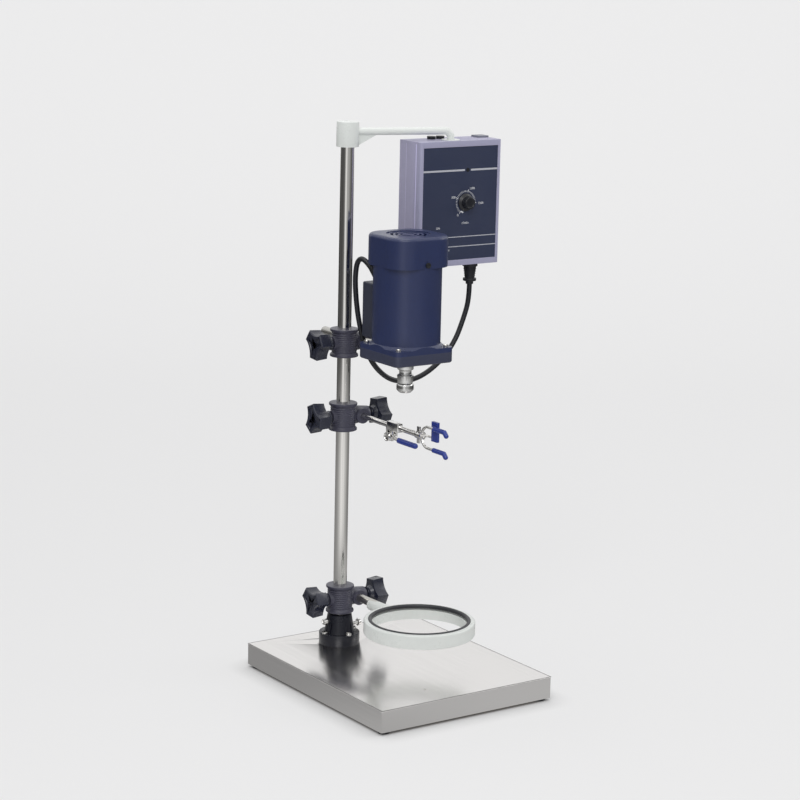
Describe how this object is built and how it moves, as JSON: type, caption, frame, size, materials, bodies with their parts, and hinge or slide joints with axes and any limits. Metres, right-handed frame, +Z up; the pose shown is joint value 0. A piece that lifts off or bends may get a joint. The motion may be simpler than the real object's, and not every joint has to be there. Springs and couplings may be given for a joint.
{
  "type": "overhead stirrer",
  "caption": "Bench stirrer on a flat base with a pole, a clamped motor with a chuck, a hung speed controller, a finger clamp and a flask ring",
  "frame": {"origin": "On the table under the middle of the base's footprint", "axes": "+Z up along the pole, -Y the front where the chuck, the clamp and the dial face, +X the side with the controller"},
  "size_m": [0.3325, 0.37, 0.773],
  "materials": {
    "base_steel": "brushed stainless sheet",
    "board": "raw board",
    "black_rubber": "matt rubber",
    "steel": "polished plating",
    "black_paint": "black enamel over a casting",
    "pale_paint": "pale grey gloss enamel",
    "knob_plastic": "moulded black plastic",
    "blue_rubber": "soft dipped sleeve",
    "case_grey": "fine texture enamel",
    "bezel_lilac": "satin enamel",
    "panel_dark": "printed plate",
    "dial_plastic": "moulded plastic",
    "pot_metal": "plain metal",
    "circuit": "laminate with parts",
    "motor_blue": "dark blue enamel",
    "plate_grey": "dark grey casting",
    "core_steel": "laminated steel",
    "fan_plastic": "moulded plastic"
  },
  "bodies": {
    "stand": {"base_cover": "base_steel", "base_board": "board", "rubber_feet": "black_rubber", "foot_screws": "steel", "pole_socket": "black_paint", "socket_bolts": "steel", "socket_screws": "steel", "pole": "pale_paint", "top_cap": "pale_paint", "hanger_arm": "pale_paint", "hanger_nut": "steel", "controller_case": "case_grey", "controller_bezel": "bezel_lilac", "control_panel": "panel_dark", "speed_pot": "pot_metal", "circuit_board": "circuit", "switch_housing": "knob_plastic", "case_screws": "steel", "motor_outlet": "knob_plastic", "fuse_holders": "knob_plastic", "power_inlet": "knob_plastic", "motor_plug": "black_rubber", "motor_cord": "black_rubber"},
    "motor_unit": {"upper_boss": "black_paint", "motor_rod": "steel", "motor_plate": "plate_grey", "motor_housing": "motor_blue", "fan_cover": "motor_blue", "motor_screws": "steel", "stator": "core_steel", "capacitor_box": "knob_plastic", "motor_bearings": "pot_metal", "cord_grommet": "black_rubber"},
    "rotor": {"rotor": "core_steel", "cooling_fan": "fan_plastic", "chuck_body": "steel", "chuck_collet": "steel"},
    "chuck_nut": {"chuck_nut": "steel"},
    "upper_pole_knob": {"upper_pole_knob": "knob_plastic"},
    "upper_rod_knob": {"upper_rod_knob": "knob_plastic"},
    "middle_boss": {"middle_boss": "black_paint"},
    "middle_pole_knob": {"middle_pole_knob": "knob_plastic"},
    "middle_rod_knob": {"middle_rod_knob": "knob_plastic"},
    "clamp": {"clamp_rod": "steel", "finger_yoke": "steel", "finger_sleeves": "blue_rubber"},
    "clamp_thumb_screw": {"clamp_thumb_screw": "steel"},
    "clamp_lever": {"clamp_lever": "steel", "lever_sleeve": "blue_rubber"},
    "centre_finger": {"centre_finger": "steel", "centre_pad": "blue_rubber"},
    "wing_nut": {"wing_nut": "steel"},
    "lower_boss": {"lower_boss": "black_paint"},
    "lower_pole_knob": {"lower_pole_knob": "knob_plastic"},
    "lower_rod_knob": {"lower_rod_knob": "knob_plastic"},
    "ring": {"ring_rod": "steel", "flask_ring": "pale_paint", "ring_gasket": "black_rubber"},
    "speed_knob": {"speed_knob": "dial_plastic"},
    "power_rocker": {"power_rocker": "knob_plastic"}
  },
  "joints": [
    {"name": "motor_height", "type": "slide", "parent": "stand", "child": "motor_unit", "axis": [0, 0, 1], "range_m": [-0.008, 0.06], "deforming": ["motor_cord"]},
    {"name": "rotor_spin", "type": "hinge", "parent": "motor_unit", "child": "rotor", "pos_m": [0, -0.005, 0.5], "axis": [0, 0, 1], "continuous": true},
    {"name": "chuck_nut_turn", "type": "hinge", "parent": "rotor", "child": "chuck_nut", "pos_m": [0, -0.005, 0.418], "axis": [0, 0, 1], "range_deg": [0, 270]},
    {"name": "upper_pole_knob_turn", "type": "hinge", "parent": "motor_unit", "child": "upper_pole_knob", "pos_m": [-0.024, 0.1105, 0.4675], "axis": [1, 0, 0], "range_deg": [0, 360]},
    {"name": "upper_rod_knob_turn", "type": "hinge", "parent": "motor_unit", "child": "upper_rod_knob", "pos_m": [-0.024, 0.1105, 0.4675], "axis": [1, 0, 0], "range_deg": [0, 360]},
    {"name": "clamp_swing", "type": "hinge", "parent": "stand", "child": "middle_boss", "pos_m": [-0.024, 0.1105, 0.3629], "axis": [0, 0, 1], "range_deg": [-70, 70]},
    {"name": "middle_pole_knob_turn", "type": "hinge", "parent": "middle_boss", "child": "middle_pole_knob", "pos_m": [-0.024, 0.1105, 0.3629], "axis": [1, 0, 0], "range_deg": [0, 360]},
    {"name": "middle_rod_knob_turn", "type": "hinge", "parent": "middle_boss", "child": "middle_rod_knob", "pos_m": [-0.024, 0.1105, 0.3629], "axis": [1, 0, 0], "range_deg": [0, 360]},
    {"name": "clamp_reach", "type": "slide", "parent": "middle_boss", "child": "clamp", "axis": [0, 1, 0], "range_m": [-0.03, 0.05]},
    {"name": "thumb_screw_turn", "type": "hinge", "parent": "clamp", "child": "clamp_thumb_screw", "pos_m": [0, 0.022, 0.3489], "axis": [1, 0, 0], "range_deg": [0, 360]},
    {"name": "lever_swing", "type": "hinge", "parent": "clamp", "child": "clamp_lever", "pos_m": [0, 0.022, 0.3489], "axis": [1, 0, 0], "range_deg": [0, 25]},
    {"name": "centre_finger_slide", "type": "slide", "parent": "clamp", "child": "centre_finger", "axis": [0, 1, 0], "range_m": [-0.01, 0]},
    {"name": "wing_nut_turn", "type": "hinge", "parent": "clamp", "child": "wing_nut", "pos_m": [0, -0.04, 0.3629], "axis": [0, 1, 0], "range_deg": [-2, 2882]},
    {"name": "ring_height", "type": "slide", "parent": "stand", "child": "lower_boss", "axis": [0, 0, 1], "range_m": [0, 0.1]},
    {"name": "lower_pole_knob_turn", "type": "hinge", "parent": "lower_boss", "child": "lower_pole_knob", "pos_m": [-0.024, 0.1105, 0.0992], "axis": [1, 0, 0], "range_deg": [0, 360]},
    {"name": "lower_rod_knob_turn", "type": "hinge", "parent": "lower_boss", "child": "lower_rod_knob", "pos_m": [-0.024, 0.1105, 0.0992], "axis": [1, 0, 0], "range_deg": [0, 360]},
    {"name": "ring_reach", "type": "slide", "parent": "lower_boss", "child": "ring", "axis": [0, 1, 0], "range_m": [-0.02, 0.02]},
    {"name": "speed_knob_turn", "type": "hinge", "parent": "stand", "child": "speed_knob", "pos_m": [0.134, 0.05, 0.6605], "axis": [0, 1, 0], "range_deg": [0, 300]},
    {"name": "power_rocker_tilt", "type": "hinge", "parent": "stand", "child": "power_rocker", "pos_m": [0.0835, 0.05373, 0.605], "axis": [1, 0, 0], "range_deg": [0, 20]}
  ],
  "couplings": [
    {"joint": "wing_nut_turn", "follows": "centre_finger_slide", "rad_per_m": -5026.5}
  ]
}
